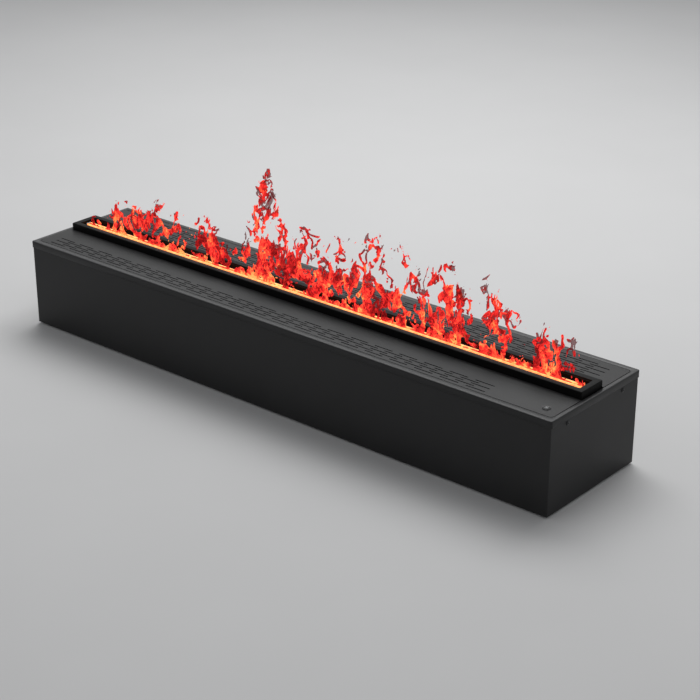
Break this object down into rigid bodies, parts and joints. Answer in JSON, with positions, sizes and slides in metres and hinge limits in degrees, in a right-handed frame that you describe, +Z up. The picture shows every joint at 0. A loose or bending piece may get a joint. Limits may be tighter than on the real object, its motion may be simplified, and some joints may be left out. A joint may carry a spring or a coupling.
{
  "type": "electric fireplace",
  "caption": "Long low box-shaped electric fireplace with a raised burner slot that sends up mist lit like flames, vented covers, water tank, fans, atomisers and a power button.",
  "frame": {"origin": "centre of the footprint, on the surface that the foot pads stand on", "axes": "+X along the box to the end with the power button, -Y the front with the lift-off cover, +Z up"},
  "size_m": [1.2, 0.25, 0.3874],
  "materials": {
    "powder_black": "satin powder coat",
    "burner_black": "matt heat-proof paint",
    "zinc_sheet": "zinc-coated sheet",
    "bright_steel": "plain",
    "black_screw": "black oxide",
    "soft_rubber": "matt",
    "lamp_guide": "frosted, lit from below",
    "lamp_strip": "lamps on a white board",
    "end_cap_grey": "moulded",
    "tank_plastic": "milky",
    "dark_plastic": "moulded",
    "plain_brass": "turned",
    "cap_blue": "moulded",
    "float_orange": "foam-filled",
    "hose_clear": "milky",
    "psu_case": "plain sheet",
    "board_green": "solder resist",
    "terminal_white": "moulded",
    "rocker_red": "moulded",
    "bezel_black": "gloss",
    "button_grey": "satin",
    "lead_grey": "matt",
    "lead_red": "matt",
    "lit_mist": "water mist lit red and orange"
  },
  "bodies": {
    "casing": {"bottom_pan": "zinc_sheet", "foot_pads": "soft_rubber", "front_panel": "powder_black", "rear_panel": "powder_black", "left_panel": "powder_black", "right_panel": "powder_black", "end_brackets": "zinc_sheet", "side_screws": "black_screw", "top_frame": "powder_black", "rear_cover": "powder_black", "cover_brackets": "zinc_sheet", "burner_frame": "burner_black", "mist_plate_front": "burner_black", "mist_plate_rear": "burner_black", "led_diffuser_front": "lamp_guide", "led_diffuser_rear": "lamp_guide", "led_strips": "lamp_strip", "slot_end_caps": "end_cap_grey", "hood_front": "zinc_sheet", "hood_rear": "zinc_sheet", "hood_ends": "zinc_sheet", "atomiser_tray": "tank_plastic", "atomiser_plate": "zinc_sheet", "tray_spigots": "plain_brass", "tray_seal": "soft_rubber", "tray_saddles": "dark_plastic", "transducer_holders": "dark_plastic", "transducer_discs": "plain_brass", "fan_housings": "dark_plastic", "fan_screws": "bright_steel", "water_tank": "tank_plastic", "tank_lid": "tank_plastic", "float_stem": "bright_steel", "feed_pump": "dark_plastic", "feed_hoses": "hose_clear", "drain_valve": "plain_brass", "drain_hose": "hose_clear", "power_supply": "psu_case", "control_board": "board_green", "driver_board": "board_green", "board_standoffs": "plain_brass", "terminal_block": "terminal_white", "mains_inlet": "dark_plastic", "inlet_screws": "bright_steel", "switch_body": "dark_plastic", "mains_wiring": "lead_grey", "led_wiring": "lead_red", "flame_mist": "lit_mist"},
    "cover": {"front_cover": "powder_black", "button_bezel": "bezel_black", "button_nut": "bright_steel", "button_switch": "dark_plastic", "button_spring": "bright_steel"},
    "button": {"power_button": "button_grey"},
    "fan_left": {"fan_rotor_left": "dark_plastic"},
    "fan_centre": {"fan_rotor_centre": "dark_plastic"},
    "fan_right": {"fan_rotor_right": "dark_plastic"},
    "cap": {"filler_cap": "cap_blue"},
    "float": {"tank_float": "float_orange"},
    "drain_plug": {"drain_spindle": "bright_steel"},
    "rocker": {"switch_rocker": "rocker_red"}
  },
  "joints": [
    {"name": "cover_lift", "type": "slide", "parent": "casing", "child": "cover", "axis": [0, 0, 1], "range_m": [0, 0.09]},
    {"name": "power_button_press", "type": "slide", "parent": "cover", "child": "button", "axis": [0, 0, -1], "range_m": [0, 0.0012], "stiffness_N_per_m": 400, "springref_m": -0.001, "deforming": ["button_spring"]},
    {"name": "fan_left_spin", "type": "hinge", "parent": "casing", "child": "fan_left", "pos_m": [-0.34, 0.04175, 0.091], "axis": [0, 1, 0], "continuous": true},
    {"name": "fan_centre_spin", "type": "hinge", "parent": "casing", "child": "fan_centre", "pos_m": [0, 0.04175, 0.091], "axis": [0, 1, 0], "continuous": true},
    {"name": "fan_right_spin", "type": "hinge", "parent": "casing", "child": "fan_right", "pos_m": [0.34, 0.04175, 0.091], "axis": [0, 1, 0], "continuous": true},
    {"name": "filler_cap_turn", "type": "hinge", "parent": "casing", "child": "cap", "pos_m": [0.36, -0.082, 0.15], "axis": [0, 0, 1], "range_deg": [0, 90]},
    {"name": "float_slide", "type": "slide", "parent": "casing", "child": "float", "axis": [0, 0, 1], "range_m": [0, 0.08]},
    {"name": "drain_turn", "type": "hinge", "parent": "casing", "child": "drain_plug", "pos_m": [0.3, 0.11, 0.024], "axis": [0, 1, 0], "range_deg": [0, 90]},
    {"name": "mains_rocker_tip", "type": "hinge", "parent": "casing", "child": "rocker", "pos_m": [0.47, 0.119, 0.06], "axis": [1, 0, 0], "range_deg": [-16, 0]}
  ]
}
